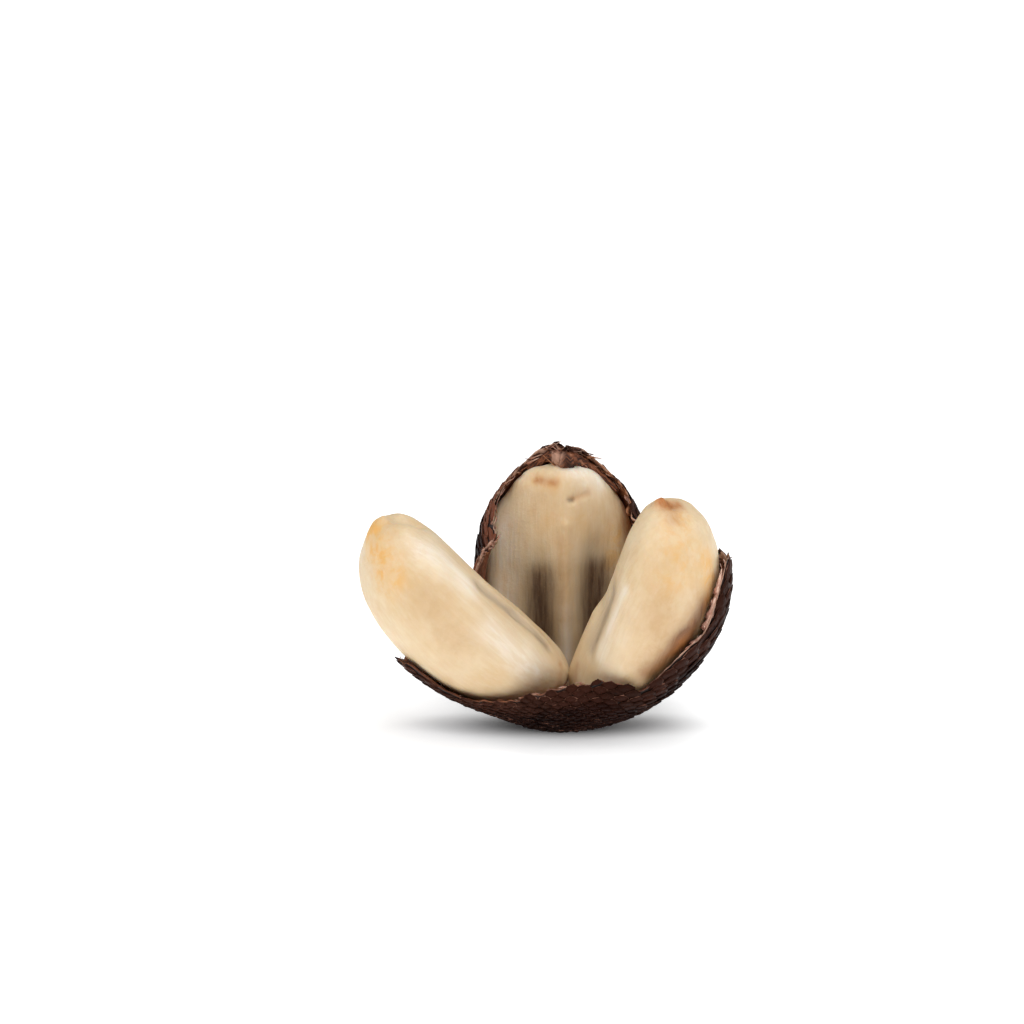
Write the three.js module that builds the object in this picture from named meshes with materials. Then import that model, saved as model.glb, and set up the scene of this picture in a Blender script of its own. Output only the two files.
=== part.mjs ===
// Opened snake fruit: three flesh segments resting in one torn piece of scaly peel.
import * as THREE from "three";

// Driving dimensions: millimetres and degrees. +Z is up and the front faces -Y.
const PEEL_THICKNESS = 1.1;
const PEEL_GAP = 0.55;
const BOWL_CENTRE = new THREE.Vector3(0, 0, 29.9);
const BOWL_RADIUS = 28.7;
const PEEL_CENTRE = new THREE.Vector3(-1.6, -1.5, 26.6);
const PEEL_COLUMNS = 144;
const PEEL_ROWS = 13;
const TOOTH_HEIGHT = 1.4;

// The peel swells away from the flesh round these directions.
const SWELLS = [
  { azimuth: 350, elevation: 5, height: 1.6, width: 24 },
  { azimuth: 87, elevation: 56, height: 4.6, width: 12 },
];

// Torn rim of the peel: azimuth and elevation seen from its centre.
const TORN_RIM = [
  [0, 22], [12, 25], [24, 29], [34, 34], [42, 37], [50, 38.5], [58, 43], [68, 49],
  [76, 55], [84, 61], [93, 57], [100, 51.5], [109, 47.5], [120, 45], [134, 40], [148, 35], [156, 29],
  [159, 16], [162, -6], [167, -19], [178, -20], [187, -17], [198, -14], [206, -13],
  [209, -19], [212, -27], [216, -31], [222, -33.5], [232, -34.5], [244, -34.5],
  [250, -33], [255, -28.5], [259, -29.5], [264, -26], [270, -23.5], [276, -22.5],
  [284, -21], [291, -18], [296, -20], [300, -18], [304, -24], [308, -19.5], [312, -9],
  [316, -3], [320, -2], [324, 1], [327, 14], [330, 20], [335, 21], [348, 21],
];

// Each segment is a rounded wedge: a round back, two flat inner faces and blunt ends.
const SEGMENTS = {
  segment_left: {
    length: 52.95, backRadius: 24.8, centre: 12.0, halfWidth: 17.3, edge: 3.75,
    bottomBlunt: 2.35, topBlunt: 2.74, lineStart: 6.7, lineBow: 4.36, lineTip: 0.35,
    facing: 213.6, lean: 45.6, leanTo: 187.8, foot: [3.07, -1.72, 14.36],
    peeledAbove: -0.2,
  },
  segment_right: {
    length: 52.6, backRadius: 24.1, centre: 12.64, halfWidth: 17.63, edge: 3.57,
    bottomBlunt: 2.36, topBlunt: 2.49, lineStart: 6.96, lineBow: 5.19, lineTip: 0.2,
    facing: 330.85, lean: 27.6, leanTo: 309.6, foot: [0.37, -0.66, 9.88],
  },
  segment_back: {
    length: 50.9, backRadius: 24.56, centre: 12.34, halfWidth: 19.25, edge: 5.05,
    bottomBlunt: 2.25, topBlunt: 2.33, lineStart: 7.9, lineBow: 4.48, lineTip: -0.06,
    facing: 90, lean: 10.2, leanTo: 90, foot: [0.13, 3.79, 3.8],
  },
};
const WEDGE_HALF_ANGLE = 60;
const SEGMENT_COLUMNS = 40;
const SEGMENT_ROWS = 26;

const rad = THREE.MathUtils.degToRad;
const Z_AXIS = new THREE.Vector3(0, 0, 1);
const Y_AXIS = new THREE.Vector3(0, 1, 0);

// Distance from the wedge's centre line to its skin, at a turn about that line.
function wedgeRadius(segment, turn) {
  const { centre, backRadius, halfWidth, edge } = segment;
  const c = Math.cos(turn);
  const s = Math.sin(turn);
  const half = rad(WEDGE_HALF_ANGLE);
  const back = Math.sqrt(backRadius ** 2 - centre ** 2 + (centre * c) ** 2) - centre * c;
  let sum = back ** -edge + (Math.abs(s) / halfWidth) ** edge;
  for (const side of [1, -1]) {
    const slope = side * Math.cos(half) * s - Math.sin(half) * c;
    if (slope > 0) sum += (slope / (centre * Math.sin(half))) ** edge;
  }
  return sum ** (-1 / edge);
}

// Turns a point of an upright segment to where the segment lies in the fruit.
function layDown(segment, point) {
  const leanAxis = Y_AXIS.clone().applyAxisAngle(Z_AXIS, rad(segment.leanTo));
  return point
    .applyAxisAngle(Z_AXIS, rad(segment.facing))
    .applyAxisAngle(leanAxis, rad(segment.lean))
    .add(new THREE.Vector3(...segment.foot));
}

// A point on a segment's skin: rise runs from -1 at the lower end to 1 at the upper.
function segmentPoint(segment, rise, turn) {
  const blunt = rise < 0 ? segment.bottomBlunt : segment.topBlunt;
  const width = Math.max(0, 1 - Math.abs(rise) ** blunt) ** (1 / blunt);
  const radius = wedgeRadius(segment, turn) * width;
  const line = segment.lineStart + segment.lineBow * (1 - rise * rise)
    + segment.lineTip * rise;
  const x = line + radius * Math.cos(turn);
  const y = radius * Math.sin(turn);
  return layDown(segment, new THREE.Vector3(x, y, (segment.length * (1 + rise)) / 2));
}

function segmentRise(row, rows) {
  return -Math.cos((Math.PI * row) / rows);
}

function makeMesh(name, points, triangles, colour, roughness) {
  const geometry = new THREE.BufferGeometry();
  geometry.setFromPoints(points);
  geometry.setIndex(triangles);
  geometry.computeVertexNormals();
  const material = new THREE.MeshStandardMaterial({ color: colour, roughness });
  const mesh = new THREE.Mesh(geometry, material);
  mesh.name = name;
  return mesh;
}

// Joins two rings of points with triangles that face outwards.
function bridge(triangles, lower, upper) {
  const count = lower.length;
  for (let i = 0; i < count; i += 1) {
    const next = (i + 1) % count;
    triangles.push(lower[i], lower[next], upper[next]);
    triangles.push(lower[i], upper[next], upper[i]);
  }
}

// Closes a ring with a fan round one point; up tells which way the fan faces.
function fan(triangles, ring, tip, up) {
  for (let i = 0; i < ring.length; i += 1) {
    const next = (i + 1) % ring.length;
    if (up) triangles.push(ring[i], ring[next], tip);
    else triangles.push(ring[next], ring[i], tip);
  }
}

function makeSegment(name, segment) {
  const points = [segmentPoint(segment, -1, 0), segmentPoint(segment, 1, 0)];
  const triangles = [];
  const rings = [];
  for (let row = 1; row < SEGMENT_ROWS; row += 1) {
    const ring = [];
    for (let column = 0; column < SEGMENT_COLUMNS; column += 1) {
      const turn = (2 * Math.PI * column) / SEGMENT_COLUMNS;
      ring.push(points.length);
      points.push(segmentPoint(segment, segmentRise(row, SEGMENT_ROWS), turn));
    }
    rings.push(ring);
  }
  fan(triangles, rings[0], 0, false);
  for (let i = 1; i < rings.length; i += 1) bridge(triangles, rings[i - 1], rings[i]);
  fan(triangles, rings.at(-1), 1, true);
  return makeMesh(name, points, triangles, "#f3e2bd", 0.45);
}

// Sample points of a body as directions and distances from the peel's centre.
function samples(points) {
  return points.map((point) => {
    const offset = point.clone().sub(PEEL_CENTRE);
    return { distance: offset.length(), direction: offset.normalize() };
  });
}

function segmentSamples(segment) {
  const points = [];
  for (let row = 0; row <= 36; row += 1) {
    for (let column = 0; column < 48; column += 1) {
      points.push(segmentPoint(segment, segmentRise(row, 36), (Math.PI * column) / 24));
    }
  }
  return samples(points);
}

// Reach of the round bowl that the flaps grow from; it fades out high on the left.
function bowlReach(direction) {
  const offset = PEEL_CENTRE.clone().sub(BOWL_CENTRE);
  const along = offset.dot(direction);
  const room = BOWL_RADIUS ** 2 - offset.lengthSq() + along ** 2;
  const fade = THREE.MathUtils.smoothstep(direction.z - 0.6 * direction.x, -0.2, 0.5);
  return (Math.sqrt(room) - along) * (1 - 0.35 * fade);
}

const DRAPE_FALL = 8;
const DRAPE_BLEND = 28;
const wrapped = Object.values(SEGMENTS).map((segment) => ({
  samples: segmentSamples(segment),
  peeledAbove: segment.peeledAbove ?? 1,
}));

// How far the inside of the peel stands from its centre in one direction.
function drape(direction) {
  let sum = bowlReach(direction) ** DRAPE_BLEND;
  for (const { samples: body, peeledAbove } of wrapped) {
    let reach = 0;
    for (const sample of body) {
      const near = sample.direction.dot(direction) - 1;
      if (near < -0.25) continue;
      reach = Math.max(reach, sample.distance * Math.exp(DRAPE_FALL * near));
    }
    reach *= 1 - 0.6 * THREE.MathUtils.smoothstep(direction.z, peeledAbove, peeledAbove + 0.3);
    sum += reach ** DRAPE_BLEND;
  }
  return sum ** (1 / DRAPE_BLEND) + PEEL_GAP;
}

function directionAt(azimuth, elevation) {
  const flat = Math.cos(rad(elevation));
  const x = flat * Math.cos(rad(azimuth));
  const y = flat * Math.sin(rad(azimuth));
  return new THREE.Vector3(x, y, Math.sin(rad(elevation)));
}

function swell(direction) {
  let height = 0;
  for (const bump of SWELLS) {
    const angle = direction.angleTo(directionAt(bump.azimuth, bump.elevation));
    height += bump.height * Math.exp(-((angle / rad(bump.width)) ** 2));
  }
  return height;
}

// Rim elevation at a column of the peel, with a small notch at every third column.
function rimElevation(column) {
  const azimuth = (360 * column) / PEEL_COLUMNS;
  const stops = [...TORN_RIM, [TORN_RIM[0][0] + 360, TORN_RIM[0][1]]];
  const after = stops.findIndex((stop) => stop[0] > azimuth);
  const [a, b] = [stops[after - 1], stops[after]];
  const share = (azimuth - a[0]) / (b[0] - a[0]);
  const tooth = column % 3 ? 0.5 * TOOTH_HEIGHT : -TOOTH_HEIGHT;
  return a[1] + (b[1] - a[1]) * share + tooth;
}

function peelPoint(azimuth, elevation, thickness) {
  const direction = directionAt(azimuth, elevation);
  const reach = drape(direction) + swell(direction) + thickness;
  const point = direction.multiplyScalar(reach).add(PEEL_CENTRE);
  point.z = Math.max(point.z, PEEL_THICKNESS - thickness);
  return point;
}

// One skin of the peel, from its lowest point up to the torn rim.
function peelSkin(points, thickness) {
  const tip = points.length;
  points.push(peelPoint(0, -90, thickness));
  const rings = [];
  for (let row = 1; row <= PEEL_ROWS; row += 1) {
    const ring = [];
    for (let column = 0; column < PEEL_COLUMNS; column += 1) {
      const share = row / PEEL_ROWS;
      const elevation = -90 + (rimElevation(column) + 90) * share;
      ring.push(points.length);
      points.push(peelPoint((360 * column) / PEEL_COLUMNS, elevation, thickness));
    }
    rings.push(ring);
  }
  return { tip, rings };
}

function makePeel() {
  const points = [];
  const triangles = [];
  const outer = peelSkin(points, PEEL_THICKNESS);
  const inner = peelSkin(points, 0);
  fan(triangles, outer.rings[0], outer.tip, false);
  fan(triangles, inner.rings[0], inner.tip, true);
  for (let i = 1; i < PEEL_ROWS; i += 1) {
    bridge(triangles, outer.rings[i - 1], outer.rings[i]);
    bridge(triangles, inner.rings[i], inner.rings[i - 1]);
  }
  bridge(triangles, outer.rings.at(-1), inner.rings.at(-1));
  return makeMesh("peel", points, triangles, "#43231b", 0.6);
}

const group = new THREE.Group();
group.name = "snake_fruit";
group.add(makePeel());
for (const [name, segment] of Object.entries(SEGMENTS)) {
  group.add(makeSegment(name, segment));
}

export default group;
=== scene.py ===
import bpy
import bmesh
import math
import random
from mathutils import Matrix, Vector, noise
from mathutils.bvhtree import BVHTree


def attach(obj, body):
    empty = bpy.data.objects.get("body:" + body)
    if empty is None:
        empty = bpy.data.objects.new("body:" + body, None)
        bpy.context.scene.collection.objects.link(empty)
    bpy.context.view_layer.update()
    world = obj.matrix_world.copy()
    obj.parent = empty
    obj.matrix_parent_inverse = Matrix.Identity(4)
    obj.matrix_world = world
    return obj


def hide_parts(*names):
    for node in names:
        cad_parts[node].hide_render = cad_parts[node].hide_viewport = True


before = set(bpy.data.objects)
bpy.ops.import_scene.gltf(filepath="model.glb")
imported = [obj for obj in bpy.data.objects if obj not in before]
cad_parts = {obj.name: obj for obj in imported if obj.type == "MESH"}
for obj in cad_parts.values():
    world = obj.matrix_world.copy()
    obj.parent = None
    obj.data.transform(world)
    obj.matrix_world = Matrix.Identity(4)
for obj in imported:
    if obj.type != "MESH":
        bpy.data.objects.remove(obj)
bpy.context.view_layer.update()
mm = 0.001
print("frame loaded:", sorted(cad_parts))


class Value:
    # one socket of a material, so that shader maths reads as plain expressions
    def __init__(self, finish, socket):
        self.finish = finish
        self.socket = socket

    def maths(self, operation, first, second):
        return self.finish.node("ShaderNodeMath", {"operation": operation}, {0: first, 1: second})

    def __add__(self, other):
        return self.maths("ADD", self, other)

    def __sub__(self, other):
        return self.maths("SUBTRACT", self, other)

    def __rsub__(self, other):
        return self.maths("SUBTRACT", other, self)

    def __mul__(self, other):
        return self.maths("MULTIPLY", self, other)

    def __pow__(self, other):
        return self.maths("POWER", self, other)

    __radd__ = __add__
    __rmul__ = __mul__


class Finish:
    # a material with its nodes, started from one Principled shader
    def __init__(self, name):
        self.material = bpy.data.materials.new(name)
        self.material.use_nodes = True
        self.tree = self.material.node_tree
        self.shader = self.tree.nodes["Principled BSDF"]

    def node(self, kind, settings=None, inputs=None, output=0):
        made = self.tree.nodes.new(kind)
        for key, value in (settings or {}).items():
            setattr(made, key, value)
        for key, value in (inputs or {}).items():
            self.feed(made.inputs[key], value)
        return Value(self, made.outputs[output])

    def feed(self, socket, value):
        if isinstance(value, Value):
            self.tree.links.new(value.socket, socket)
        elif socket.type == "RGBA":
            socket.default_value = (*value, 1.0)
        else:
            socket.default_value = value

    def fix(self, name, value):
        self.feed(self.shader.inputs[name], value)

    def mapped(self, vector, scale):
        return self.node("ShaderNodeMapping", None, {"Vector": vector, "Scale": scale})

    def place(self, scale=(1, 1, 1)):
        return self.mapped(self.node("ShaderNodeTexCoord", output="Object"), scale)

    def attribute(self, name, output="Fac"):
        return self.node("ShaderNodeAttribute", {"attribute_name": name}, output=output)

    def noise(self, place, scale, detail=4.0, rough=0.5, distortion=0.0):
        return self.node("ShaderNodeTexNoise", None, {
            "Vector": place, "Scale": scale, "Detail": detail,
            "Roughness": rough, "Distortion": distortion})

    def remap(self, value, low, high, toLow=0.0, toHigh=1.0):
        return self.node("ShaderNodeMapRange", {"clamp": True, "interpolation_type": "SMOOTHSTEP"}, {
            "Value": value, "From Min": low, "From Max": high, "To Min": toLow, "To Max": toHigh})

    def mix(self, amount, first, second):
        # sockets 6 and 7 of a colour mix are its two colours
        return self.node("ShaderNodeMix", {"data_type": "RGBA", "clamp_factor": True},
                         {0: amount, 6: first, 7: second}, output=2)

    def surface(self, colour, rough, height, depth, strength, specular):
        relief = {"Height": height, "Distance": depth, "Strength": strength}
        self.fix("Base Color", colour)
        self.fix("Roughness", rough)
        self.fix("Normal", self.node("ShaderNodeBump", None, relief))
        self.fix("Specular IOR Level", specular)

    def dress(self, piece):
        piece.data.materials.clear()
        piece.data.materials.append(self.material)


def meshFrom(bm, name):
    mesh = bpy.data.meshes.new(name)
    bm.to_mesh(mesh)
    bm.free()
    return mesh


def pieceFrom(bm, name):
    piece = bpy.data.objects.new(name, meshFrom(bm, name))
    bpy.context.scene.collection.objects.link(piece)
    return piece


def bakeModifiers(piece):
    bpy.context.view_layer.update()
    graph = bpy.context.evaluated_depsgraph_get()
    mesh = bpy.data.meshes.new_from_object(piece.evaluated_get(graph))
    piece.modifiers.clear()
    piece.data = mesh
    mesh.name = piece.name


copySettings = {
    "merge": 0.01 * mm,
    "joinAngle": 1.2,          # radians out of flat or square that two paired triangles may be
}


def copyNode(name, pieceName, levels):
    # a finer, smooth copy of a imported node: doubles merged, triangles paired, then subdivided
    bm = bmesh.new()
    bm.from_mesh(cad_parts[name].data)
    bmesh.ops.remove_doubles(bm, verts=bm.verts, dist=copySettings["merge"])
    angle = copySettings["joinAngle"]
    bmesh.ops.join_triangles(
        bm, faces=bm.faces, angle_face_threshold=angle, angle_shape_threshold=angle,
        cmp_seam=False, cmp_sharp=False, cmp_uvs=False, cmp_materials=False)
    piece = pieceFrom(bm, pieceName)
    finer = piece.modifiers.new("finer", "SUBSURF")
    finer.levels = finer.render_levels = levels
    bakeModifiers(piece)
    return piece


def addAttribute(mesh, name, values, kind="FLOAT"):
    layer = mesh.attributes.new(name, kind, "POINT")
    key = "vector" if kind == "FLOAT_VECTOR" else "value"
    flat = [n for value in values for n in value] if kind == "FLOAT_VECTOR" else values
    layer.data.foreach_set(key, flat)


def finishPiece(piece, slot, *nodes):
    piece.data.polygons.foreach_set("use_smooth", [True] * len(piece.data.polygons))
    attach(piece, "root")
    if nodes:
        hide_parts(*nodes)
    print(piece.name, "faces:", len(piece.data.polygons))


def ease(value, low, high):
    share = min(1.0, max(0.0, (value - low) / (high - low)))
    return share * share * (3 - 2 * share)


def ripple(point, scale, seed=0.0):
    return noise.noise(Vector((point[0] * scale + seed, point[1] * scale, point[2] * scale)))


# Lay of each segment: foot in millimetres, turns in degrees. A mark runs between two
# points of the upright segment, in its own millimetres, and ends with its reach and amount.
segmentSettings = {
    "segment_left": {
        "facing": 213.6, "lean": 45.6, "leanTo": 187.8,
        "foot": (3.07, -1.72, 14.36), "length": 52.95,
        "swell": [
            ((11.5, 1.0, 51.6), (11.5, 5.0, 51.4), 3.2, 0.8),
            ((4.4, 8.6, 29.0), (4.4, 8.2, 11.0), 1.3, 0.3),
            ((6.5, 11.2, 30.0), (5.3, 10.0, 21.0), 1.6, -0.4),
            ((5.3, 10.0, 21.0), (5.5, 9.6, 11.0), 1.6, -0.4),
        ],
        "rise": [
            ((7.4, 2.0, 53.1), (9.4, 1.0, 53.1), 2.6, 2.0),
            ((4.8, 3.8, 52.0), (2.6, 5.4, 49.0), 2.6, -1.9),
        ],
        "yellow": [
            ((12.0, 4.0, 51.3), (16.5, 7.0, 46.0), 3.8, 1.5),
            ((9.5, 1.0, 53.0), (10.5, 1.5, 52.8), 1.6, 1.0),
        ],
        "tanAndShade": [
            ((17.0, 12.5, 38.0), (19.5, 12.0, 27.0), 5.0, 0.8),
            ((21.0, 5.0, 22.0), (20.0, 8.0, 16.0), 4.0, 0.4),
        ],
        "stainAndShade": [
            ((6.5, 8.6, 6.0), (10.5, 7.6, 2.4), 1.1, 0.55),
            ((10.0, 7.0, 1.5), (13.0, 4.5, 1.0), 1.2, 0.4),
        ],
        # painted shade: greyer flesh along the inner face, which is seen edge-on
        "innerFaceShade": [
            ((6.5, 11.2, 31.0), (5.3, 10.0, 21.0), 1.7, 1.2),
            ((5.3, 10.0, 21.0), (5.5, 9.6, 11.0), 1.7, 1.0),
        ],
        # painted shade low in the hollow of the inner face
        "shadeAndSeed": [((5.6, 9.8, 14.0), (5.7, 9.6, 11.0), 0.9, 0.35)],
        "dark": [],
        # painted highlights: paler flesh where light falls strongest
        "pale": [
            ((13.0, 14.5, 24.0), (12.0, 13.0, 10.0), 3.5, 0.9),
            ((8.5, 12.0, 46.0), (9.0, 13.0, 33.0), 3.2, 0.9),
        ],
    },
    "segment_right": {
        "facing": 330.85, "lean": 27.6, "leanTo": 309.6,
        "foot": (0.37, -0.66, 9.88), "length": 52.6,
        "swell": [
            ((3.6, -4.5, 22.0), (4.0, -5.5, 8.0), 3.6, 1.3),
            ((5.4, -9.2, 32.0), (6.4, -10.2, 18.0), 1.9, -0.5),
            ((5.2, -1.2, 52.6), (4.8, -2.0, 52.4), 1.0, 0.9),
            ((7.0, 0.6, 52.5), (7.6, -0.4, 52.5), 1.0, -0.4),
        ],
        "rise": [((5.2, -1.4, 52.5), (4.8, -2.2, 52.3), 0.9, 0.6)],
        "yellow": [
            ((10.0, -2.5, 51.8), (15.5, -8.0, 43.5), 4.0, 0.85),
            ((19.0, 0.5, 46.0), (21.0, 0.0, 38.0), 3.0, 1.0),
        ],
        "tanAndShade": [
            ((18.0, -11.5, 40.0), (19.5, -12.0, 22.0), 4.0, 0.7),
            ((13.0, -10.0, 46.0), (14.5, -12.5, 34.0), 4.0, 0.5),
            # painted shade: this mark browns the flesh where the peel flap shades it
            ((21.5, -2.5, 38.0), (21.0, -9.0, 22.0), 4.8, 1.1),
        ],
        "stainAndShade": [
            ((5.2, -1.4, 52.3), (7.6, 0.8, 52.5), 1.7, 1.3),
            ((8.0, -2.4, 52.2), (9.6, -3.5, 51.8), 1.7, 0.6),
            ((20.5, 2.0, 41.0), (22.6, -0.5, 37.0), 1.6, 0.5),
            # painted shade: these two marks brown the flesh down where the peel flap shades it
            ((22.6, -2.0, 36.5), (22.2, -6.5, 30.0), 3.2, 0.4),
            ((22.2, -6.5, 30.0), (20.3, -11.0, 22.0), 3.0, 0.4),
            ((4.4, -8.6, 12.0), (5.7, -9.6, 6.0), 0.9, 0.5),
        ],
        # painted shade: greyer flesh along the inner face, which is seen edge-on
        "innerFaceShade": [((5.4, -9.2, 33.0), (6.2, -9.8, 19.0), 2.5, 1.2)],
        # painted shade: in the hollow of the inner face, and browner darkening where the peel flap
        # shades the flesh
        "shadeAndSeed": [
            ((5.6, -9.4, 28.0), (6.4, -10.2, 21.0), 0.9, 0.3),
            ((22.8, -1.5, 37.0), (22.6, -6.5, 30.5), 3.0, 1.0),
            ((22.6, -6.5, 30.5), (20.6, -11.0, 22.0), 2.7, 0.95),
        ],
        # painted shade: darkest flesh where the peel flap shades the segment
        "dark": [
            ((23.6, -2.0, 36.0), (23.6, -6.0, 24.0), 2.4, 0.6),
            ((23.4, -6.5, 24.0), (21.4, -10.0, 17.0), 2.0, 0.5),
        ],
        # painted highlights: paler flesh along the lit inner edge
        "pale": [
            ((8.6, -12.6, 37.0), (8.8, -12.8, 20.0), 1.5, 0.9),
            ((13.0, -13.0, 34.0), (12.5, -12.5, 16.0), 2.2, 0.4),
        ],
    },
    "segment_back": {
        "facing": 90, "lean": 10.2, "leanTo": 90,
        "foot": (0.13, 3.79, 3.8), "length": 50.9,
        "swell": [
            ((6.0, 4.0, 51.0), (6.0, -4.0, 51.0), 5.0, 0.7),
            ((8.9, 8.3, 48.4), (9.0, 8.5, 47.5), 3.0, 0.7),
            ((11.0, 15.0, 40.0), (10.5, 15.0, 18.0), 4.0, 1.5),
            ((4.6, 4.8, 31.0), (3.4, 4.6, 13.0), 3.2, -0.9),
            ((5.0, -7.0, 32.0), (4.0, -7.4, 10.0), 3.6, -1.0),
            ((1.6, -0.6, 38.0), (1.4, -0.6, 6.0), 1.2, 0.4),
            ((9.0, 8.6, 47.6), (3.7, 2.6, 47.4), 1.0, -0.35),
            ((2.4, -1.5, 43.5), (2.5, -1.9, 43.5), 0.7, -0.6),
            ((2.7, -2.4, 44.0), (4.2, -5.2, 45.0), 0.8, -0.3),
        ],
        "rise": [],
        "yellow": [
            ((8.0, -11.8, 37.0), (6.6, -10.6, 29.0), 2.8, 0.8),
            ((8.0, 12.0, 38.0), (7.5, 12.0, 24.0), 3.0, 0.35),
            ((3.0, 3.0, 40.0), (3.0, -3.0, 40.0), 3.0, 0.25),
            ((5.6, 5.8, 47.8), (3.6, 1.6, 46.8), 2.2, 0.5),
        ],
        "tanAndShade": [
            ((4.5, 6.5, 42.0), (3.0, -6.0, 40.0), 6.0, 0.6),
            ((1.5, 0.0, 34.0), (1.5, 0.0, 18.0), 2.4, 0.9),
        ],
        "stainAndShade": [
            ((5.2, 5.4, 47.6), (3.4, 1.6, 47.0), 1.0, 0.9),
            ((2.8, -2.4, 43.9), (4.2, -5.4, 44.8), 0.7, 0.7),
        ],
        "innerFaceShade": [],
        # painted shade in the two hollows, together with the seed's darkness showing through the flesh
        "shadeAndSeed": [
            ((3.8, 4.8, 26.5), (2.6, 4.9, 12.0), 4.4, 1.1),
            ((5.2, -7.4, 28.0), (4.0, -7.8, 8.0), 4.8, 1.1),
        ],
        # painted shade deepest in the two hollows; the last mark is a small real dark dent
        "dark": [
            ((3.8, 5.0, 22.5), (3.0, 5.2, 12.0), 3.4, 0.72),
            ((4.6, -6.8, 24.5), (3.6, -7.2, 12.0), 3.8, 0.72),
            ((2.4, -1.4, 43.4), (2.5, -1.9, 43.5), 0.55, 1.0),
        ],
        # painted highlights and painted light: the lit top, the ridge, and the left side that lies in
        # shade made paler
        "pale": [
            ((6.0, -2.0, 50.0), (7.5, -7.0, 48.0), 3.0, 1.3),
            ((8.2, 11.8, 38.0), (8.2, 12.4, 20.0), 3.6, 1.0),
            ((1.4, -0.6, 20.0), (1.6, -0.6, 5.0), 1.4, 0.8),
            ((9.0, 6.0, 50.0), (10.0, 8.0, 49.0), 2.4, 0.8),
        ],
    },
}


fleshSettings = {
    "levels": 3,
    # slow swells of the surface: millimetres, waves to the millimetre, seed, share of them lengthwise
    "swells": [(0.26, 0.09, 0, 1.0), (0.10, 0.24, 7, 1.0), (0.05, 0.9, 0, 0.25)],
    "endSwell": (0.22, 0.45, 3),
    "endFrom": 0.78,           # how far from the middle to an end that swell starts
    "sink": 0.05,
    "markReach": 3.0,          # a mark is left out beyond this many times its reach
    "cloud": ((0.72, 0.525, 0.30), (0.80, 0.64, 0.42)),
    "streak": (0.86, 0.74, 0.55),
    "streakShare": 0.25,
    # marks from the lowest layer up: colour, what breaks them up, and by how much
    "marks": [
        # painted highlight: whitish flesh where light falls
        ("pale", (0.90, 0.81, 0.68), "streak", 0.4),
        # tan flesh, and on the right segment also painted shade beside the peel flap
        ("tanAndShade", (0.62, 0.41, 0.215), "patch", 0.4),
        ("yellow", (0.80, 0.46, 0.15), "patch", 0.7),
        # painted shade: greyer flesh on inner faces seen edge-on
        ("innerFaceShade", (0.52, 0.405, 0.275), "streak", 0.3),
        # painted shade, and on the back segment also the seed's darkness through the flesh
        ("shadeAndSeed", (0.115, 0.062, 0.032), "streak", 0.2),
        # real orange-brown stains, and on the right segment also painted shade by the peel flap
        ("stainAndShade", (0.46, 0.17, 0.04), "patch", 0.4),
        # painted shade, and one small real dark spot
        ("dark", (0.055, 0.028, 0.014), "streak", 0.3),
    ],
    "speck": (0.66, 0.40, 0.18),
    "speckShare": 0.12,
    "roughness": (0.36, 0.5),
    "specular": 0.4,
    "grain": (0.6, 0.6, 0.07),     # the grain runs lengthwise
    "reliefDepth": 0.4 * mm,
    "reliefStrength": 0.5,
    "softness": 0.3,
    "softReach": 3 * mm,
    "softColour": (1.0, 0.55, 0.25),
}


def segmentFrame(settings):
    # matrix that takes a point of the fruit into the upright segment's own millimetres
    facing = Matrix.Rotation(math.radians(settings["facing"]), 4, "Z")
    to = math.radians(settings["leanTo"])
    axis = Vector((-math.sin(to), math.cos(to), 0))
    lean = Matrix.Rotation(math.radians(settings["lean"]), 4, axis)
    laid = Matrix.Translation(Vector(settings["foot"])) @ lean @ facing
    return laid.inverted() @ Matrix.Scale(1000, 4)


def readMarks(marks):
    return [(Vector(start), Vector(end) - Vector(start), reach, amount)
            for start, end, reach, amount in marks]


def markAmount(marks, spot):
    total = 0.0
    for start, run, reach, amount in marks:
        away = spot - start
        along = min(1.0, max(0.0, away.dot(run) / run.length_squared))
        gap = (away - run * along).length_squared / (reach * reach)
        if gap < fleshSettings["markReach"] ** 2:
            total += amount * math.exp(-gap)
    return total


def fleshSwell(spot, rise, seed):
    # millimetres that the surface stands out at a spot, rise being -1 at the foot and 1 at the tip
    total = -fleshSettings["sink"]
    for amount, scale, shift, lengthwise in fleshSettings["swells"]:
        total += amount * ripple((spot.x, spot.y, spot.z * lengthwise), scale, seed + shift)
    amount, scale, shift = fleshSettings["endSwell"]
    nearEnd = ease(abs(rise), fleshSettings["endFrom"], 1.0)
    return total + nearEnd * amount * ripple(spot, scale, seed + shift)


def makeSegment(name, settings):
    piece = copyNode(name, name.replace("segment", "flesh"), fleshSettings["levels"])
    mesh = piece.data
    toOwn = segmentFrame(settings)
    swells, rises = readMarks(settings["swell"]), readMarks(settings["rise"])
    normals = [vertex.normal.copy() for vertex in mesh.vertices]
    own = [toOwn @ vertex.co for vertex in mesh.vertices]
    for vertex, spot, normal in zip(mesh.vertices, own, normals):
        rise = 2 * spot.z / settings["length"] - 1
        swell = fleshSwell(spot, rise, settings["facing"]) + markAmount(swells, spot)
        vertex.co += normal * swell * mm
        vertex.co.z += markAmount(rises, spot) * mm
    addAttribute(mesh, "own", own, "FLOAT_VECTOR")
    for kind, _, _, _ in fleshSettings["marks"]:
        marks = readMarks(settings[kind])
        addAttribute(mesh, kind, [markAmount(marks, spot) for spot in own])
    finishPiece(piece, "flesh", name)
    return piece


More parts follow.
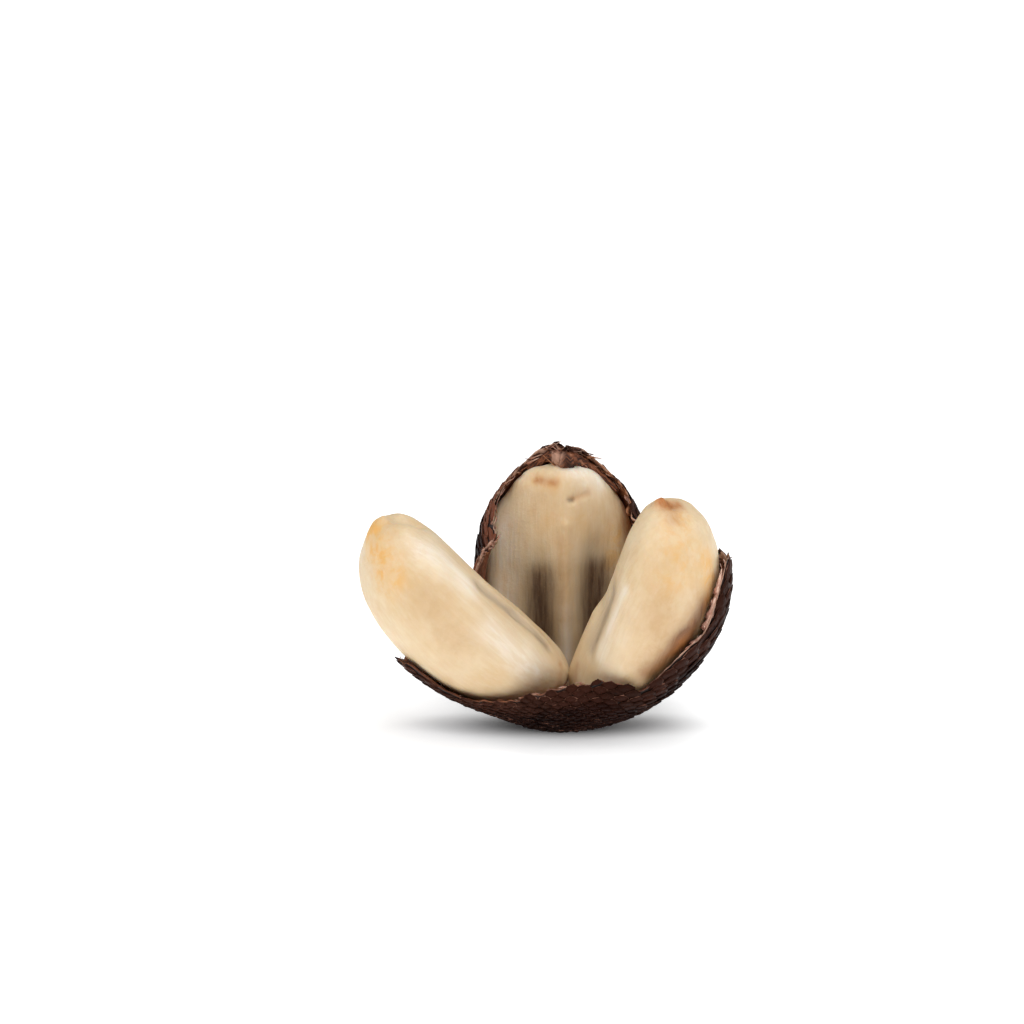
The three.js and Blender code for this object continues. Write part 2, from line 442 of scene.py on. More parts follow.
def fleshFinish():
    skin = Finish("snakeFruitFlesh")
    own = skin.attribute("own", "Vector")
    grain = skin.mapped(own, fleshSettings["grain"])
    cloud = skin.remap(skin.noise(own, 0.11, 5, 0.55), 0.35, 0.7)
    streak = skin.remap(skin.noise(grain, 1.6, 4, 0.6), 0.38, 0.7)
    broken = {"streak": streak, "patch": skin.remap(skin.noise(own, 0.32, 5, 0.65, 0.4), 0.38, 0.68)}
    speck = skin.remap(skin.noise(own, 1.7, 3, 0.6), 0.6, 0.78)
    base = skin.mix(cloud, *fleshSettings["cloud"])
    base = skin.mix(streak * fleshSettings["streakShare"], base, fleshSettings["streak"])
    for kind, colour, breaker, share in fleshSettings["marks"]:
        amount = skin.attribute(kind) * ((1 - share) + share * broken[breaker])
        base = skin.mix(amount, base, colour)
    base = skin.mix(speck * fleshSettings["speckShare"], base, fleshSettings["speck"])
    rough = skin.remap(skin.noise(own, 0.5, 3), 0.3, 0.7, *fleshSettings["roughness"])
    relief = skin.noise(grain, 2.2, 4, 0.55) * 0.6 + skin.noise(own, 1.3, 4, 0.6) * 0.4
    skin.surface(base, rough, relief, fleshSettings["reliefDepth"], fleshSettings["reliefStrength"],
                 fleshSettings["specular"])
    skin.fix("Subsurface Weight", fleshSettings["softness"])
    skin.fix("Subsurface Radius", fleshSettings["softColour"])
    skin.fix("Subsurface Scale", fleshSettings["softReach"])
    return skin


fleshSkin = fleshFinish()
for segmentName, segmentLay in segmentSettings.items():
    fleshSkin.dress(makeSegment(segmentName, segmentLay))
print("flesh segments made")


# Lengths in metres where mm is named; tables run by azimuth in degrees, 270 being the front.
peelSettings = {
    "levels": 2,
    "centre": Vector((-1.6, -1.5, 26.6)) * mm,
    "rayStart": 80 * mm,           # from the centre, outside every part of the peel
    "rayLength": 72 * mm,
    "rimSearch": (70.0, -45, 0.5),     # highest and lowest elevation, and the step
    "degreeLength": 0.55,          # millimetres of peel to one degree seen from its centre
    "rimSpread": 9,                # degrees looked at to each side for the nearest edge
    "thin": 0.4 * mm,              # the scales take this much of the peel's thickness
    "outerFrom": (-0.05, 0.35),    # how squarely the skin faces out where it counts as outside
    "tornReach": (0.3, 3.0),       # millimetres from the edge over which the torn look fades
    "tornShare": [
        (0, 0.8), (60, 0.7), (100, 0.9), (160, 0.9), (175, 0.5), (215, 0.2), (240, 0.15),
        (250, 0.55), (280, 0.55), (292, 0.1), (308, 0.3), (316, 1.0), (350, 1.0), (360, 0.8)],
    "warmRise": (5, 28),           # the warm torn patch by the right segment
    "warmAt": 46,
    "warmSpread": (14, 28),
    "innerRipple": (0.16 * mm, 0.45, 0),   # height, waves to the millimetre, seed
    "tornRipple": (0.35 * mm, 1.1, 5),
    "restHeight": 0.35 * mm,       # room for the scales under the fruit
}


def skyward(azimuth, elevation):
    flat = math.cos(elevation)
    return Vector((flat * math.cos(azimuth), flat * math.sin(azimuth), math.sin(elevation)))


def touchPeel(tree, azimuth, elevation):
    way = skyward(azimuth, elevation)
    start = peelSettings["centre"] + way * peelSettings["rayStart"]
    hit, normal, _, _ = tree.ray_cast(start, -way, peelSettings["rayLength"])
    return hit, normal


def tableAt(table, place):
    place %= 360
    for (low, first), (high, last) in zip(table, table[1:]):
        if place <= high:
            return first + (last - first) * (place - low) / (high - low)
    return table[-1][1]


def readRim(tree):
    # the torn rim's elevation in degrees, one for each degree round the fruit
    highest, lowest, step = peelSettings["rimSearch"]
    rim = []
    for azimuth in range(360):
        top = highest
        while top > lowest and touchPeel(tree, math.radians(azimuth), math.radians(top))[0] is None:
            top -= step
        rim.append(top)
    return rim


def rimAt(azimuth):
    place = azimuth % 360
    low = int(place) % 360
    share = place - int(place)
    return peelRim[low] * (1 - share) + peelRim[(low + 1) % 360] * share


def insideRim(azimuth, elevation):
    # millimetres from a place on the peel to the torn edge, 0 beyond it; both angles in degrees
    flat = math.cos(math.radians(elevation))
    spread = peelSettings["rimSpread"]
    nearest = min(math.hypot(step * flat, max(0.0, rimAt(azimuth + step) - elevation))
                  for step in range(-spread, spread + 1))
    return nearest * peelSettings["degreeLength"]


def rippleHeight(settings, spot):
    height, scale, seed = settings
    return height * ripple(spot, scale, seed)


def makePeelSkin():
    piece = copyNode("peel", "peelSkin", peelSettings["levels"])
    mesh = piece.data
    centre = peelSettings["centre"]
    outer, torn, warm = [], [], []
    normals = [vertex.normal.copy() for vertex in mesh.vertices]
    for vertex, normal in zip(mesh.vertices, normals):
        away = vertex.co - centre
        share = ease(normal.dot(away.normalized()), *peelSettings["outerFrom"])
        azimuth = math.degrees(math.atan2(away.y, away.x)) % 360
        elevation = math.degrees(math.asin(away.z / away.length))
        spot = vertex.co / mm
        edge = 1 - ease(insideRim(azimuth, elevation), *peelSettings["tornReach"])
        edge *= tableAt(peelSettings["tornShare"], azimuth)
        outer.append(share)
        torn.append(edge)
        aside = ease(abs(azimuth - peelSettings["warmAt"]), *peelSettings["warmSpread"])
        warm.append(ease(elevation, *peelSettings["warmRise"]) * (1 - aside))
        move = -share * peelSettings["thin"]
        move += (1 - share) * rippleHeight(peelSettings["innerRipple"], spot)
        move += (1 - share) * edge * rippleHeight(peelSettings["tornRipple"], spot)
        vertex.co += normal * move
        vertex.co.z = max(vertex.co.z, peelSettings["restHeight"] if share > 0.5 else 0.0)
    addAttribute(mesh, "outer", outer)
    addAttribute(mesh, "torn", torn)
    addAttribute(mesh, "warm", warm)
    finishPiece(piece, "peel", "peel")
    return piece


# Shares of a scale's own length and width where no unit is named; angles in degrees.
scaleSettings = {
    "seed": 11,
    "columns": 54,
    "halvedBelow": (-62, -76),     # each of these elevations halves the columns under it
    "from": -86,
    "to": 64,
    "rowPitch": 0.56,              # row spacing over scale width
    "pitchLimits": (0.04, 0.12),   # radians
    "stray": (0.1, 0.08),          # how far a scale may stray along its row and up
    "length": 2.1,                 # over row spacing
    "width": 1.14,
    "lift": 0.66 * mm,
    "thickness": 0.24 * mm,
    "spread": {"length": (0.93, 1.07), "width": (0.95, 1.05), "lift": (0.8, 1.2)},
    "rimGap": 0.45,                # millimetres kept free at the torn edge
    "feel": 0.4,                   # how far aside the skin is felt for, in columns
    "edgeShift": 0.15,             # a scale beside an edge moves away from it and narrows
    "longest": 5 * mm,
    "widest": 9 * mm,
    "shortest": 0.3 * mm,
    "overlap": 0.9,
    "sunk": 0.08 * mm,
    # degrees that the tips may stand past the torn edge
    "overhang": [(0, 1.2), (205, 1.2), (218, 3.0), (306, 3.0), (324, 2.4), (332, 1.0), (360, 1.2)],
    "wornShare": [
        (0, 0.35), (30, 0.15), (95, 0.25), (112, 1.0), (168, 1.0), (182, 0.2), (300, 0.1),
        (345, 0.15), (360, 0.25)],
    "wornReach": (4.0, 9.0),       # millimetres from the edge
    "tipFrom": 0.42,
    "tipShape": (2.2, 0.62),
    "baseWidth": 0.86,
    "keel": (0.09, 0.3),           # height and half width of the ridge down the middle
}


def tipReach(y, least):
    # the share of its full width that a scale still has at y
    start = scaleSettings["tipFrom"]
    bend, fullness = scaleSettings["tipShape"]
    return max(least, 1 - (max(0.0, y - start) / (1 - start)) ** bend) ** fullness


def scaleTemplate():
    # one shingle: x across, y from the hidden base (0) to the tip (1), z off the skin in millimetres
    bm = bmesh.new()
    bmesh.ops.create_grid(bm, x_segments=4, y_segments=4, size=0.5)
    bmesh.ops.translate(bm, vec=(0, 0.5, 0), verts=bm.verts)
    keelHeight, keelWidth = scaleSettings["keel"]
    for vertex in bm.verts:
        x, y = vertex.co.x, vertex.co.y
        base = scaleSettings["baseWidth"]
        width = tipReach(y, 0.0) * (base + (1 - base) * ease(y, 0.0, 0.4))
        across = 2 * x
        crown = 1 - 0.75 * across * across
        lift = 0.05 + 0.62 * ease(y, 0.0, 0.85) - 0.12 * ease(y, 0.8, 1.0)
        keel = keelHeight * y * math.exp(-(across / keelWidth) ** 2)
        height = lift * (0.35 + 0.65 * crown) + keel
        vertex.co = Vector((x * width, y - 0.06 * across * across * y, height))
    bmesh.ops.remove_doubles(bm, verts=bm.verts, dist=0.012)
    bmesh.ops.recalc_face_normals(bm, faces=bm.faces)
    if sum(face.normal.z for face in bm.faces) < 0:
        bmesh.ops.reverse_faces(bm, faces=bm.faces)
    thickness = scaleSettings["thickness"] / scaleSettings["lift"]
    bmesh.ops.solidify(bm, geom=bm.faces[:], thickness=thickness)
    rim, along, _, _ = addLayers(bm, "rim", "along", "tone", "worn")
    for vertex in bm.verts:
        x, y = vertex.co.x, vertex.co.y
        side = ease(abs(2 * x) / tipReach(y, 0.02), 0.55, 1.0) * ease(y, 0.1, 0.5)
        vertex[rim] = max(ease(y, 0.55, 1.0), side)
        vertex[along] = y
    return meshFrom(bm, "scaleTemplate")


def addLayers(bm, *names):
    return [bm.verts.layers.float.new(name) for name in names]


def addCopy(bm, template, matrix, layers):
    first = len(bm.verts)
    bm.from_mesh(template)
    bm.verts.ensure_lookup_table()
    fresh = bm.verts[first:]
    bmesh.ops.transform(bm, matrix=matrix, verts=fresh)
    for vertex in fresh:
        for layer, amount in layers:
            vertex[layer] = amount
        vertex.co.z = max(vertex.co.z, 0.0)


def scaleAcross(hit, left, right):
    # the way across one column, and the shift off an edge where only one side has skin
    feel, shift = scaleSettings["feel"], scaleSettings["edgeShift"]
    if left is not None and right is not None:
        return (right - left) / (2 * feel), 0.0
    if left is not None:
        return (hit - left) / feel, -shift
    return (right - hit) / feel, shift


def placeScale(tree, azimuth, elevation, pitch, spacing, dice):
    # matrix for one scale, or None where the peel is torn away
    degrees = (math.degrees(azimuth), math.degrees(elevation))
    if insideRim(*degrees) < scaleSettings["rimGap"]:
        return None
    hit, normal = touchPeel(tree, azimuth, elevation)
    if hit is None or normal.dot(hit - peelSettings["centre"]) < 0:
        return None
    below, _ = touchPeel(tree, azimuth, elevation - pitch)
    step = spacing * scaleSettings["feel"]
    left, _ = touchPeel(tree, azimuth + step, elevation)
    right, _ = touchPeel(tree, azimuth - step, elevation)
    if below is None or (left is None and right is None):
        return None
    rise = hit - below
    rise -= normal * rise.dot(normal)
    across, shift = scaleAcross(hit, left, right)
    across -= normal * across.dot(normal)
    if rise.length > scaleSettings["longest"] or rise.length < scaleSettings["shortest"]:
        return None
    if across.length > scaleSettings["widest"]:
        return None
    spread = scaleSettings["spread"]
    overlap = scaleSettings["overlap"]
    reach = scaleSettings["length"] * dice.uniform(*spread["length"])
    tip = math.degrees(elevation + (reach - overlap) * pitch)
    beyond = tip - rimAt(degrees[0]) - tableAt(scaleSettings["overhang"], degrees[0])
    if beyond > 0:
        reach = max(1.0, reach - beyond / math.degrees(pitch))
    wide = across * scaleSettings["width"] * dice.uniform(*spread["width"]) * (1 - 2 * abs(shift))
    lift = normal * scaleSettings["lift"] * dice.uniform(*spread["lift"])
    matrix = Matrix((wide, rise * reach, lift)).transposed().to_4x4()
    matrix.translation = hit + across * shift - rise * overlap - normal * scaleSettings["sunk"]
    return matrix


def makeScales(tree):
    template = scaleTemplate()
    dice = random.Random(scaleSettings["seed"])
    bm = bmesh.new()
    tone, worn, _, _ = addLayers(bm, "tone", "worn", "rim", "along")
    elevation = math.radians(scaleSettings["from"])
    lowest, highest = scaleSettings["pitchLimits"]
    strayAlong, strayUp = scaleSettings["stray"]
    row = 0
    while elevation < math.radians(scaleSettings["to"]):
        columns = scaleSettings["columns"]
        for limit in scaleSettings["halvedBelow"]:
            if elevation < math.radians(limit):
                columns //= 2
        spacing = 2 * math.pi / columns
        pitch = min(highest, max(lowest, scaleSettings["rowPitch"] * spacing * math.cos(elevation)))
        for column in range(columns):
            azimuth = (column + 0.5 * (row % 2) + strayAlong * dice.uniform(-1, 1)) * spacing
            height = elevation + strayUp * pitch * dice.uniform(-1, 1)
            matrix = placeScale(tree, azimuth, height, pitch, spacing, dice)
            shade = dice.random()
            if matrix is not None:
                degrees = (math.degrees(azimuth), math.degrees(height))
                wear = tableAt(scaleSettings["wornShare"], degrees[0])
                wear *= 1 - ease(insideRim(*degrees), *scaleSettings["wornReach"])
                addCopy(bm, template, matrix, [(tone, shade), (worn, wear)])
        elevation += pitch
        row += 1
    bpy.data.meshes.remove(template)
    piece = pieceFrom(bm, "peelScales")
    finishPiece(piece, "peel")
    return piece


# Torn fibres and flakes along the rim.
fibreSettings = {
    "seed": 23,
    # the bands of fibres: from and to azimuth, how many, length and width in millimetres,
    # how far they lie over sideways in degrees, and the share that are pale
    "bands": {
        "backTip": (64, 108, 70, (1.4, 3.4), (0.35, 0.8), (55, 105), 0.3),
        "backLeft": (108, 162, 120, (1.0, 2.6), (0.35, 0.8), (40, 100), 0.6),
        "backRight": (20, 64, 70, (1.0, 2.6), (0.3, 0.6), (60, 100), 0.6),
        "rightFlap": (314, 336, 45, (0.9, 2.6), (0.35, 0.8), (0, 45), 0.6),
        "rightTop": (336, 380, 50, (0.8, 1.8), (0.3, 0.6), (75, 100), 0.25),
        "frontRim": (240, 285, 50, (0.7, 1.6), (0.3, 0.6), (50, 100), 0.7),
        "leftRim": (162, 240, 50, (0.8, 1.8), (0.25, 0.5), (60, 100), 0.35),
    },
    "depth": (0.6, 3.4),           # degrees below the torn edge
    "curl": (-0.25, 0.4),
    "inset": (0.2, 1.0),           # millimetres in from the outer skin
    "paleTone": (0.65, 1.0),
    "darkTone": (0.0, 0.5),
    # wider flakes: azimuth, degrees below the torn edge, turn in degrees, length, width, inset,
    # curl, tone, and how far each is tipped up off the skin in degrees
    "flakes": [
        (89.0, 5.0, 160, 3.4, 2.4, 5.0, 0.40, 0.95, 0),
        (94.0, 5.0, 130, 2.6, 1.5, 4.4, 0.50, 0.80, 0),
        (86.0, 5.5, 110, 4.0, 1.7, 4.0, 0.40, 0.50, 0),
        (78.0, 3.0, 100, 4.4, 1.5, 3.2, 0.30, 0.30, 0),
        (72.0, 2.6, 100, 4.0, 1.2, 2.4, 0.30, 0.62, 0),
        (98.0, 3.0, -95, 4.0, 1.3, 2.6, 0.30, 0.40, 0),
        (36.0, 2.0, 20, 4.2, 5.0, 0.9, 0.20, 0.52, 0),
        (45.0, 2.0, -15, 3.6, 4.4, 0.9, 0.10, 0.50, 0),
        (29.0, 2.0, 35, 3.4, 3.4, 0.9, 0.30, 0.46, 0),
        (320.6, 0.8, 60, 3.6, 1.3, 0.6, 0.10, 0.95, 70),
        (324.3, 0.9, 22, 4.2, 1.5, 0.7, 0.12, 0.90, 75),
        (325.4, 0.8, 12, 4.6, 1.5, 0.7, 0.15, 0.97, 72),
        (326.3, 0.8, 12, 4.6, 1.4, 0.7, 0.10, 0.82, 78),
        (327.3, 0.8, 20, 4.2, 1.3, 0.6, 0.12, 0.93, 72),
        (328.8, 1.0, 35, 3.2, 1.0, 0.6, 0.10, 0.70, 70),
    ],
    "thickness": 0.16,             # of its width
    "rootShare": 0.3,              # how much of its length lies before its place
    "curlShare": 0.5,
    "feel": 3,                     # degrees down to the place that gives the way up
}


def sliverTemplate():
    # one torn fibre: a thin strip from its root at y 0 to a fine curled end at y 1
    bm = bmesh.new()
    bmesh.ops.create_grid(bm, x_segments=2, y_segments=5, size=0.5)
    bmesh.ops.translate(bm, vec=(0, 0.5, 0), verts=bm.verts)
    for vertex in bm.verts:
        x, y = vertex.co.x, vertex.co.y
        taper = (1 - 0.85 * y ** 1.6) * (0.8 + 0.2 * math.sin(9 * y))
        vertex.co = Vector((x * taper + 0.12 * math.sin(4 * y), y, 0.3 * y * y - 0.5 * abs(x) * (1 - y)))
    bmesh.ops.recalc_face_normals(bm, faces=bm.faces)
    bmesh.ops.solidify(bm, geom=bm.faces[:], thickness=fibreSettings["thickness"])
    bmesh.ops.recalc_face_normals(bm, faces=bm.faces)
    _, along = addLayers(bm, "tone", "along")
    for vertex in bm.verts:
        vertex[along] = vertex.co.y
    return meshFrom(bm, "sliverTemplate")


def rimFrame(tree, azimuth, depth):
    # a place below the torn edge: the outer skin there, its outward normal, and the ways up and across
    elevation = rimAt(azimuth) - depth
    hit, normal = touchPeel(tree, math.radians(azimuth), math.radians(elevation))
    below, _ = touchPeel(tree, math.radians(azimuth), math.radians(elevation - fibreSettings["feel"]))
    if hit is None or below is None or normal.dot(hit - peelSettings["centre"]) < 0:
        return None
    rise = (hit - below).normalized()
    return hit, normal, rise, rise.cross(normal).normalized()


def addSliver(bm, template, place, turn, length, width, curl, inset, tip, layers):
    if place is None:
        return
    hit, normal, rise, across = place
    way = rise * math.cos(turn) + across * math.sin(turn)
    flat = way.cross(normal).normalized()
    side = flat * math.cos(tip) + normal * math.sin(tip)
    out = normal * math.cos(tip) - flat * math.sin(tip)
    out *= length * fibreSettings["curlShare"] * curl
    matrix = (Matrix((side * width, way * length, out)) * mm).transposed().to_4x4()
    matrix.translation = hit - (normal * inset + way * fibreSettings["rootShare"] * length) * mm
    addCopy(bm, template, matrix, layers)


def makeFibres(tree):
    template = sliverTemplate()
    dice = random.Random(fibreSettings["seed"])
    bm = bmesh.new()
    tone, _ = addLayers(bm, "tone", "along")
    for start, end, count, lengths, widths, turns, paleShare in fibreSettings["bands"].values():
        for _ in range(count):
            azimuth = dice.uniform(start, end)
            depth = dice.uniform(*fibreSettings["depth"])
            turn = math.radians(dice.uniform(*turns)) * dice.choice((-1, 1))
            length, width = dice.uniform(*lengths), dice.uniform(*widths)
            curl, inset = dice.uniform(*fibreSettings["curl"]), dice.uniform(*fibreSettings["inset"])
            tones = fibreSettings["paleTone" if dice.random() < paleShare else "darkTone"]
            layers = [(tone, dice.uniform(*tones))]
            place = rimFrame(tree, azimuth, depth)
            addSliver(bm, template, place, turn, length, width, curl, inset, 0.0, layers)
    for azimuth, depth, turn, length, width, inset, curl, shade, tip in fibreSettings["flakes"]:
        turn, tip = math.radians(turn), math.radians(tip)
        place = rimFrame(tree, azimuth, depth)
        addSliver(bm, template, place, turn, length, width, curl, inset, tip, [(tone, shade)])
    bmesh.ops.recalc_face_normals(bm, faces=bm.faces)
    bpy.data.meshes.remove(template)
    piece = pieceFrom(bm, "peelFibres")
    finishPiece(piece, "peel")
    return piece


# The rolled lip at the back flap's tip.
curlSettings = {
    "start": 106,                  # azimuths
    "end": 56,
    "depth": 3.0,                  # degrees below the torn edge
    "segments": (90, 16),
    "smoothing": 5,                # degrees to each side that share one place on the rim
    "radius": [(0.0, 0.35), (0.3, 1.2), (0.45, 1.9), (0.7, 1.1), (1.0, 0.35)],
    "radiusRipple": (0.25, 14, 2),     # amount, waves, seed
    "turn": 300,
    "turnShare": 0.85,
    "turnRipple": (0.4, 22, 8),
    "inset": 0.9 * mm,
    "crumple": (0.22 * mm, 0.5, 4),
    "crumpleSize": (60, 5),
    "grainSize": (24, 5),
    "thickness": 0.28 * mm,
}


def curlPlace(tree, azimuth):
    # the rim's place, outward normal and way up, averaged over the degrees around
    spread = curlSettings["smoothing"]
    depth = curlSettings["depth"]
    frames = [rimFrame(tree, azimuth + step, depth) for step in range(-spread, spread + 1)]
    frames = [place for place in frames if place is not None]
    hit = sum((place[0] for place in frames), Vector()) / len(frames)
    normal = sum((place[1] for place in frames), Vector()).normalized()
    rise = sum((place[2] for place in frames), Vector()).normalized()
    return hit, normal, rise


def makeCurl(tree):
    bm = bmesh.new()
    long, round = curlSettings["segments"]
    bmesh.ops.create_grid(bm, x_segments=long, y_segments=round, size=0.5)
    lay = bm.verts.layers.float_vector.new("lay")
    start, end = curlSettings["start"], curlSettings["end"]
    crumpleLong, crumpleRound = curlSettings["crumpleSize"]
    grainLong, grainRound = curlSettings["grainSize"]
    for vertex in bm.verts:
        along, around = vertex.co.x + 0.5, vertex.co.y + 0.5
        hit, normal, rise = curlPlace(tree, start + (end - start) * along)
        radius = tableAt(curlSettings["radius"], along) * mm
        radius *= 1 + rippleHeight(curlSettings["radiusRipple"], (along, 0, 0))
        share = curlSettings["turnShare"] + rippleHeight(curlSettings["turnRipple"], (along, 0, 0))
        turn = math.radians(curlSettings["turn"]) * share * around
        crumple = rippleHeight(curlSettings["crumple"], (along * crumpleLong, around * crumpleRound, 0))
        out = radius * (math.cos(turn) - 1) + crumple - curlSettings["inset"]
        vertex[lay] = Vector((along * grainLong, around * grainRound, 0))
        vertex.co = hit + normal * out + rise * radius * math.sin(turn)
    bmesh.ops.recalc_face_normals(bm, faces=bm.faces)
    piece = pieceFrom(bm, "peelCurl")
    wall = piece.modifiers.new("wall", "SOLIDIFY")
    wall.thickness = curlSettings["thickness"]
    wall.offset = 0
    bakeModifiers(piece)
    finishPiece(piece, "peel")
    return piece


peelColours = {
    "inside": ((0.10, 0.030, 0.014), (0.30, 0.11, 0.055)),
    "insideWarm": (0.50, 0.20, 0.09),
    "insideFibre": (0.52, 0.30, 0.19),
    "insideTorn": (0.66, 0.42, 0.31),
    "outside": ((0.010, 0.004, 0.003), (0.03, 0.011, 0.008)),
    "scale": ((0.0036, 0.0011, 0.0009), (0.013, 0.0036, 0.0025)),
    "scalePatch": (0.028, 0.007, 0.004),
    "scaleWorn": (0.22, 0.075, 0.042),
    # a lighter reddish scale rim, whose pale end is a painted glint
    "scaleEdgeAndGlint": ((0.06, 0.014, 0.007), (0.56, 0.27, 0.19)),
    "scaleEdgeWornAndGlint": (0.58, 0.36, 0.26),
    "fibreDark": ((0.030, 0.009, 0.005), (0.15, 0.045, 0.022)),
    "fibreWarm": ((0.28, 0.09, 0.035), (0.62, 0.27, 0.12)),
    "fibrePale": ((0.50, 0.22, 0.15), (0.84, 0.58, 0.46)),
    "fibreSpeck": (0.16, 0.05, 0.025),
    "curl": ((0.030, 0.009, 0.005), (0.26, 0.085, 0.035)),
    "curlPale": (0.52, 0.28, 0.17),
    "curlBare": (0.60, 0.34, 0.24),
}


def skinFinish():
    skin = Finish("peelSkin")
    spot = skin.place()
    fibre = skin.noise(skin.place((1, 1, 0.35)), 1400, 5, 0.65)
    lump = skin.noise(spot, 480, 4, 0.6)
    blotch = skin.remap(skin.noise(spot, 200, 4, 0.6), 0.35, 0.7)
    inside = skin.mix(blotch, *peelColours["inside"])
    inside = skin.mix(skin.attribute("warm") * 0.8, inside, peelColours["insideWarm"])
    inside = skin.mix(skin.remap(fibre, 0.52, 0.75) * 0.4, inside, peelColours["insideFibre"])
    frayed = skin.remap(skin.attribute("torn") + (lump - 0.5) * 1.6, 0.55, 1.0)
    inside = skin.mix(frayed * 0.85, inside, peelColours["insideTorn"])
    base = skin.mix(skin.attribute("outer"), inside, skin.mix(blotch, *peelColours["outside"]))
    rough = skin.remap(fibre, 0.3, 0.7, 0.5, 0.75)
    skin.surface(base, rough, fibre * 0.4 + lump * 0.6, 1.0 * mm, 0.7, 0.3)
    return skin


def scaleFinish():
    skin = Finish("peelScales")
    spot = skin.place()
    tone, worn = skin.attribute("tone"), skin.attribute("worn")
    grain = skin.noise(spot, 900, 5, 0.6)
    patch = skin.remap(skin.noise(spot, 90, 3, 0.5), 0.35, 0.65)
    # painted highlights: clusters where the scale edges light up like glints
    glintCluster = skin.remap(skin.noise(spot, 260, 3, 0.6), 0.5, 0.66)
    dark = skin.mix(tone, *peelColours["scale"])
    dark = skin.mix(patch * 0.35, dark, peelColours["scalePatch"])
    dark = skin.mix(worn * 0.8, dark, peelColours["scaleWorn"])
    # scale edges: a lighter reddish rim, turning into painted pinkish glints toward the pale end
    rimAndGlint = skin.mix(tone ** 2.0, *peelColours["scaleEdgeAndGlint"])
    rimAndGlint = skin.mix(worn, rimAndGlint, peelColours["scaleEdgeWornAndGlint"])
    edge = skin.remap(skin.attribute("rim") + (grain - 0.5) * 1.1, 0.68, 1.08)
    base = skin.mix(edge * (0.25 + 0.7 * glintCluster), dark, rimAndGlint)
    skin.surface(base, skin.remap(grain, 0.3, 0.7, 0.34, 0.55), grain, 0.3 * mm, 0.7, 0.015)
    return skin


def curlFinish():
    skin = Finish("peelCurl")
    lay = skin.attribute("lay", "Vector")
    along = skin.node("ShaderNodeSeparateXYZ", None, {"Vector": lay})
    fibre = skin.noise(skin.mapped(lay, (0.45, 1.3, 1.0)), 1.0, 5, 0.65, 0.5)
    lump = skin.noise(skin.place(), 700, 4, 0.6)
    base = skin.mix(skin.remap(fibre, 0.38, 0.62), *peelColours["curl"])
    frayed = skin.remap(fibre * 0.6 + lump * 0.4, 0.56, 0.66)
    base = skin.mix(frayed * 0.6, base, peelColours["curlPale"])
    bared = skin.remap(along, 6.0, 7.6) * skin.remap(along, 11.6, 10.0) * skin.remap(lump, 0.3, 0.5)
    base = skin.mix(bared * 0.85, base, peelColours["curlBare"])
    rough = skin.remap(lump, 0.3, 0.7, 0.45, 0.7)
    skin.surface(base, rough, fibre * 0.7 + lump * 0.3, 0.8 * mm, 0.8, 0.3)
    return skin


def fibreFinish():
    skin = Finish("peelFibres")
    tone, along = skin.attribute("tone"), skin.attribute("along")
    grain = skin.noise(skin.place(), 1600, 4, 0.6)
    dark = skin.mix(along, *peelColours["fibreDark"])
    warm = skin.mix(grain, *peelColours["fibreWarm"])
    pale = skin.mix(along, *peelColours["fibrePale"])
    base = skin.mix(skin.remap(tone, 0.36, 0.46), dark, warm)
    base = skin.mix(skin.remap(tone, 0.54, 0.66), base, pale)
    base = skin.mix(skin.remap(grain, 0.5, 0.72) * 0.4, base, peelColours["fibreSpeck"])
    skin.surface(base, skin.remap(grain, 0.3, 0.7, 0.5, 0.75), grain, 0.3 * mm, 0.6, 0.5)
    return skin


def treeOf(piece):
    return BVHTree.FromObject(piece, bpy.context.evaluated_depsgraph_get())


peelRim = readRim(treeOf(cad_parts["peel"]))
peelSkin = makePeelSkin()
skinFinish().dress(peelSkin)
peelTree = treeOf(peelSkin)
scaleFinish().dress(makeScales(peelTree))
fibreFinish().dress(makeFibres(peelTree))
curlFinish().dress(makeCurl(peelTree))
print("peel made")


stageSettings = {
    "floorHalf": 4.0,
    "floorColour": (0.92, 0.92, 0.92),
    "floorGrain": 0.02,
    "floorSpecular": 0.1,
    "floorGlow": 0.48,
    "shadowOvalShape": (20, 64, 1),      # painted shadow: the floor glows only outside an oval under the fruit, widest from side to side
    "shadowOvalFade": (0.2, 0.78),
    "floorRoughness": 0.9,
    "sky": 0.34,
    # far soft lights: strength, spread in degrees and place
    "lights": {
        "overheadLight": (0.7, 30, (0.1, -0.1, 0.8)),
        "keyLight": (1.02, 30, (0.15, -0.5, 0.6)),
        "leftLight": (0.55, 35, (-0.6, -0.35, 0.45)),
        "rightLight": (0.42, 35, (0.7, 0.1, 0.4)),
    },
    "camera": (-10.90, -593.21, 183.77),
    "tilt": 77.0,
    "lens": 101.38,
    "sensor": 36,
    "clip": (0.01, 20),
}


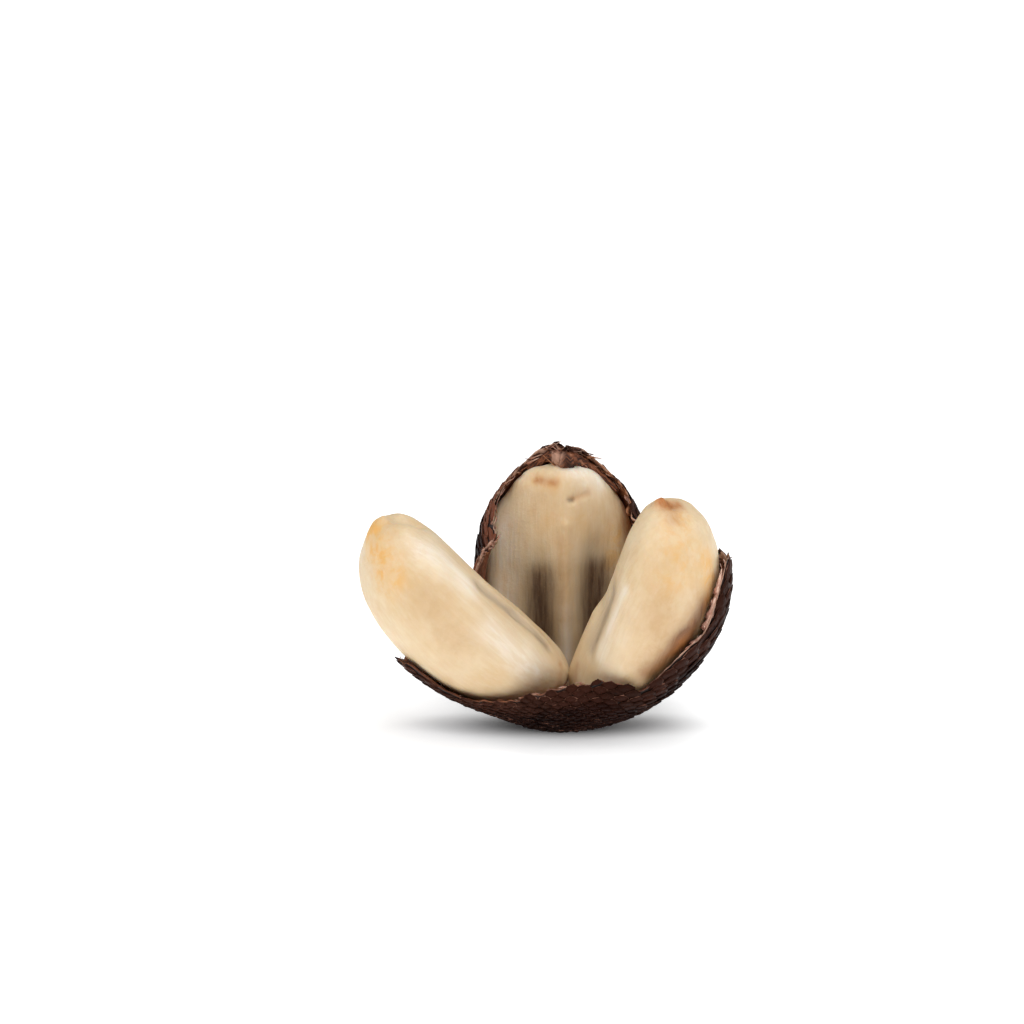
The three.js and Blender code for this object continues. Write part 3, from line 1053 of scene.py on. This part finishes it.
def makeFloor():
    bm = bmesh.new()
    bmesh.ops.create_grid(bm, x_segments=2, y_segments=2, size=stageSettings["floorHalf"])
    floor = pieceFrom(bm, "floor")
    paint = Finish("floorPaint")
    grain = paint.noise(paint.place(), 40, 2)
    speckle = grain * stageSettings["floorGrain"]
    paint.fix("Base Color", paint.mix(speckle, stageSettings["floorColour"], (1, 1, 1)))
    # painted shadow: the glow fades out inside the oval under the fruit, darkening the floor there
    shadowOval = paint.place(stageSettings["shadowOvalShape"])
    reach = paint.node("ShaderNodeVectorMath", {"operation": "LENGTH"}, {0: shadowOval}, 1)
    glow = paint.remap(reach, *stageSettings["shadowOvalFade"])
    paint.fix("Emission Color", paint.mix(glow, (0, 0, 0), (1, 1, 1)))
    paint.fix("Emission Strength", stageSettings["floorGlow"])
    paint.fix("Roughness", stageSettings["floorRoughness"])
    paint.fix("Specular IOR Level", stageSettings["floorSpecular"])
    paint.dress(floor)


def addLight(name, strength, spread, place):
    # aimed from its place at the fruit
    lamp = bpy.data.lights.new(name, "SUN")
    lamp.energy = strength
    lamp.angle = math.radians(spread)
    lampObject = bpy.data.objects.new(name, lamp)
    bpy.context.scene.collection.objects.link(lampObject)
    lampObject.location = place
    lampObject.rotation_euler = (-Vector(place)).to_track_quat("-Z", "Y").to_euler()


def makeSky():
    world = bpy.data.worlds.new("sky")
    bpy.context.scene.world = world
    world.use_nodes = True
    backdrop = world.node_tree.nodes["Background"]
    backdrop.inputs["Color"].default_value = (1, 1, 1, 1)
    backdrop.inputs["Strength"].default_value = stageSettings["sky"]


def makeCamera():
    camera = bpy.data.cameras.new("camera")
    camera.lens = stageSettings["lens"]
    camera.sensor_width = stageSettings["sensor"]
    camera.clip_start, camera.clip_end = stageSettings["clip"]
    cameraObject = bpy.data.objects.new("camera", camera)
    bpy.context.scene.collection.objects.link(cameraObject)
    cameraObject.location = Vector(stageSettings["camera"]) * mm
    cameraObject.rotation_euler = (math.radians(stageSettings["tilt"]), 0, 0)
    bpy.context.scene.camera = cameraObject


makeFloor()
makeSky()
for lightName, lightSettings in stageSettings["lights"].items():
    addLight(lightName, *lightSettings)
makeCamera()
bpy.context.scene.view_settings.view_transform = "Standard"
print("stage set")
